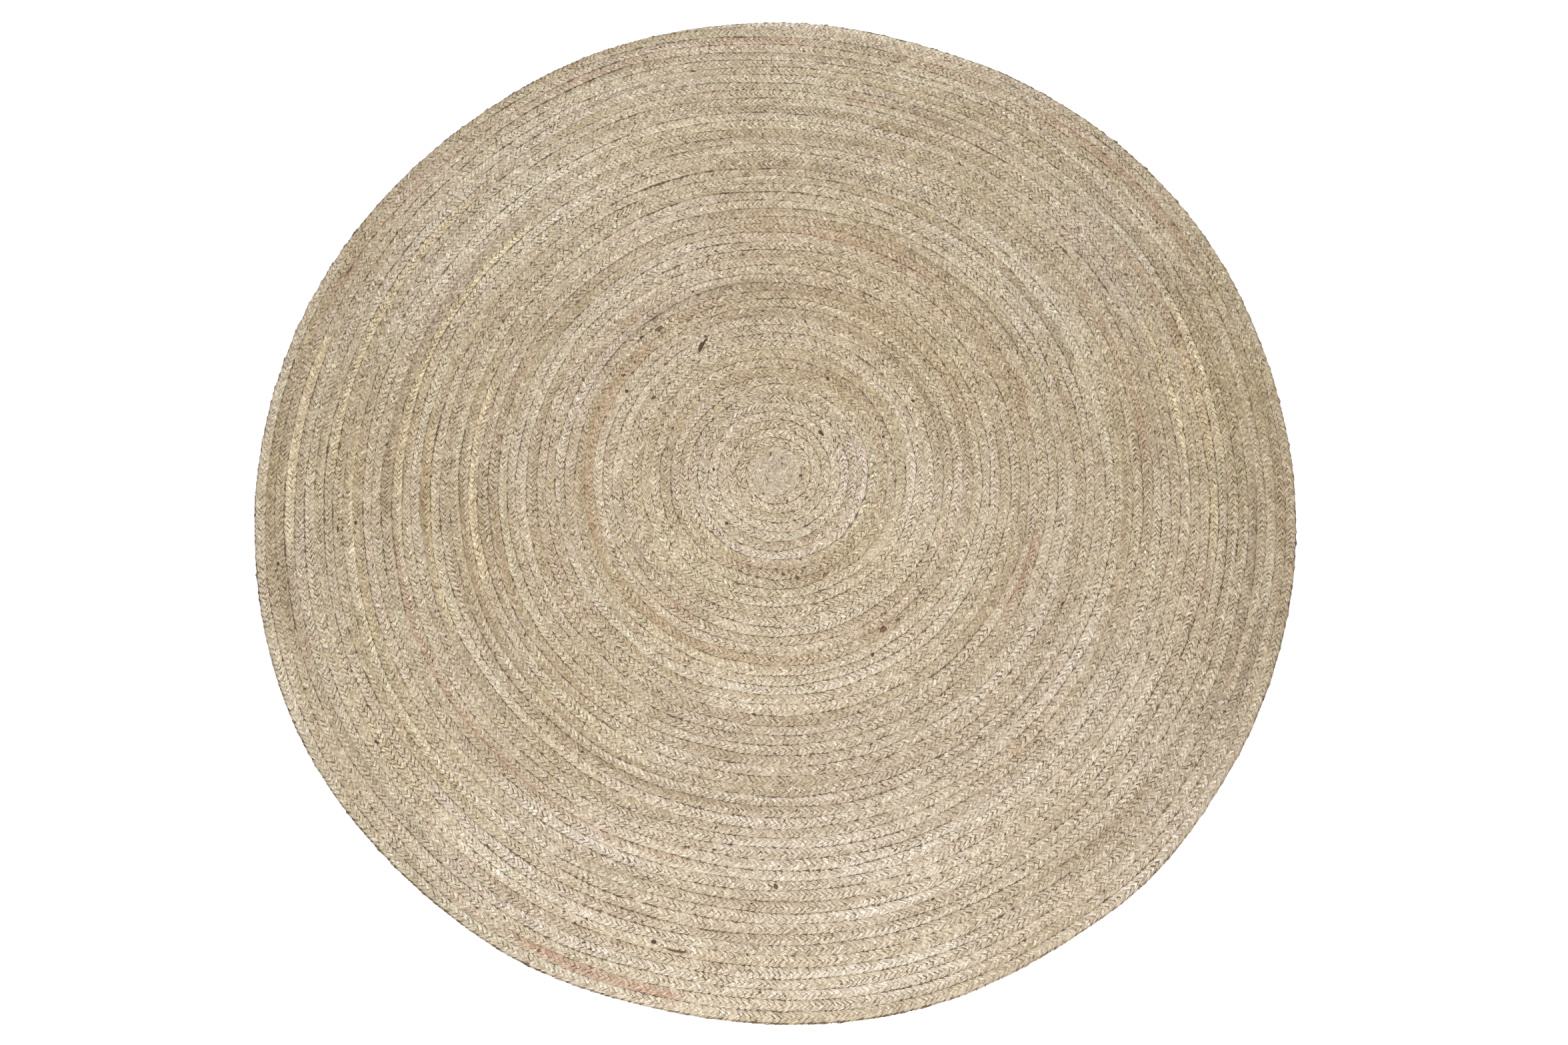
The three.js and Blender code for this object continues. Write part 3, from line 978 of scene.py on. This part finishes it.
loose = {
    "onTop": 1500,
    "reach": 0.98,  # share of the radius in which those lie
    "atRim": 420,
    "lengths": (0.006, 0.02),
    "thickness": (0.00022, 0.00042),
    "low": 0.0079,  # their ends sink into the crests
    "arch": (0.0005, 0.0016),
    "lean": 28,  # spread of their angles off the braid, in degrees
    "bend": 0.16,  # share of the length
    "rimLengths": (0.004, 0.009),
    "rimOut": (-0.0025, 0.0005),  # their middle, past the outline
    "rimLow": (0.0022, 0.006),
    "rimArch": (-0.0005, 0.001),
    "rimLean": 65,
    "tones": {"pale": 0.52, "straw": 0.25, "tan": 0.13, "brown": 0.1},
    "lightness": (0.95, 1.35),
    "seed": 73,
}


def makeLooseFibres():
    # fine hairs lying roughly along the braid, and shorter ones that stick out of the rim
    rng = np.random.default_rng(loose["seed"])
    top, edge = loose["onTop"], loose["atRim"]
    count = top + edge
    angle = rng.uniform(0, 2 * math.pi, count)
    outline = coil["radius"] + edgeRise(np.degrees(angle))
    radius = np.concatenate([loose["reach"] * coil["radius"] * np.sqrt(rng.uniform(0, 1, top)),
                             outline[top:] + rng.uniform(*loose["rimOut"], edge)])
    centre = polar(radius, angle)
    lean = np.concatenate([90 + loose["lean"] * rng.standard_normal(top).clip(-2, 2),
                           rng.uniform(-loose["rimLean"], loose["rimLean"], edge)])
    length = np.concatenate([rng.uniform(*loose["lengths"], top), rng.uniform(*loose["rimLengths"], edge)])
    half = rng.uniform(*loose["thickness"], count) / 2
    low = np.concatenate([np.full(top, loose["low"]), rng.uniform(*loose["rimLow"], edge)])
    arch = np.concatenate([rng.uniform(*loose["arch"], top), rng.uniform(*loose["rimArch"], edge)])
    names = rng.choice(list(loose["tones"]), count, p=list(loose["tones"].values()))
    colours = np.array([tones[tone] for tone in names])
    colours = (colours * rng.uniform(*loose["lightness"], (count, 1))).clip(0, 0.9)
    bend = rng.uniform(-loose["bend"], loose["bend"], count)
    return makeSpindles("looseFibres", centre, angle + np.radians(lean), length, half, half, bend, low,
                        arch, colours, sides=3, rings=3)


looseSurface = {"Roughness": 0.8, "Specular IOR Level": 0.3}


def looseMaterial():
    material, nodes, links, shader = newMaterial("looseJute")
    tone = nodes.new("ShaderNodeAttribute")
    tone.attribute_name = "juteTone"
    links.new(tone.outputs["Color"], shader.inputs["Base Color"])
    setSurface(shader, looseSurface)
    return material


barkFlecks = makeFlecks()
looseFibres = makeLooseFibres()
print("flecks and loose fibres laid")

floorFinish = {
    "size": 8.0,
    "grainScale": 40,
    "grain": (0.9, 0.96),  # lightness of the paper
    # the paper glows a little: a painted glow, not a lamp, that keeps it white
    "surface": {"Roughness": 0.9, "Emission Color": (1, 1, 1, 1), "Emission Strength": 0.30},
}


def makeFloor():
    corners = np.array([(-1, -1, 0), (1, -1, 0), (1, 1, 0), (-1, 1, 0)]) * floorFinish["size"] / 2
    floor = makeMesh("studioFloor", corners, [np.array([[0, 1, 2, 3]])], smooth=False)
    material, nodes, links, shader = newMaterial("palePaper")
    grain = nodes.new("ShaderNodeTexNoise")
    grain.inputs["Scale"].default_value = floorFinish["grainScale"]
    paper = nodes.new("ShaderNodeMapRange")
    paper.inputs["To Min"].default_value = floorFinish["grain"][0]
    paper.inputs["To Max"].default_value = floorFinish["grain"][1]
    place = nodes.new("ShaderNodeTexCoord")
    links.new(place.outputs["Object"], grain.inputs["Vector"])
    links.new(grain.outputs["Fac"], paper.inputs["Value"])
    links.new(paper.outputs[0], shader.inputs["Base Color"])
    setSurface(shader, floorFinish["surface"])
    floor.data.materials.append(material)


makeFloor()
print("floor laid")

juteSurface = juteMaterial("plaitedJute", 0)
juteBelow = juteMaterial("plaitedJuteBelow", underside["lobeDepth"])
juteLoose = looseMaterial()
matPieces = plaitPieces + [rimStrands, knotPiece, undersidePiece, barkFlecks, looseFibres]
surfaces = {undersidePiece: juteBelow, barkFlecks: juteLoose, looseFibres: juteLoose}
for piece in matPieces:
    piece.data.materials.append(surfaces.get(piece, juteSurface))
    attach(piece, "root")
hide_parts("rug")
print("pieces ride on the root body")
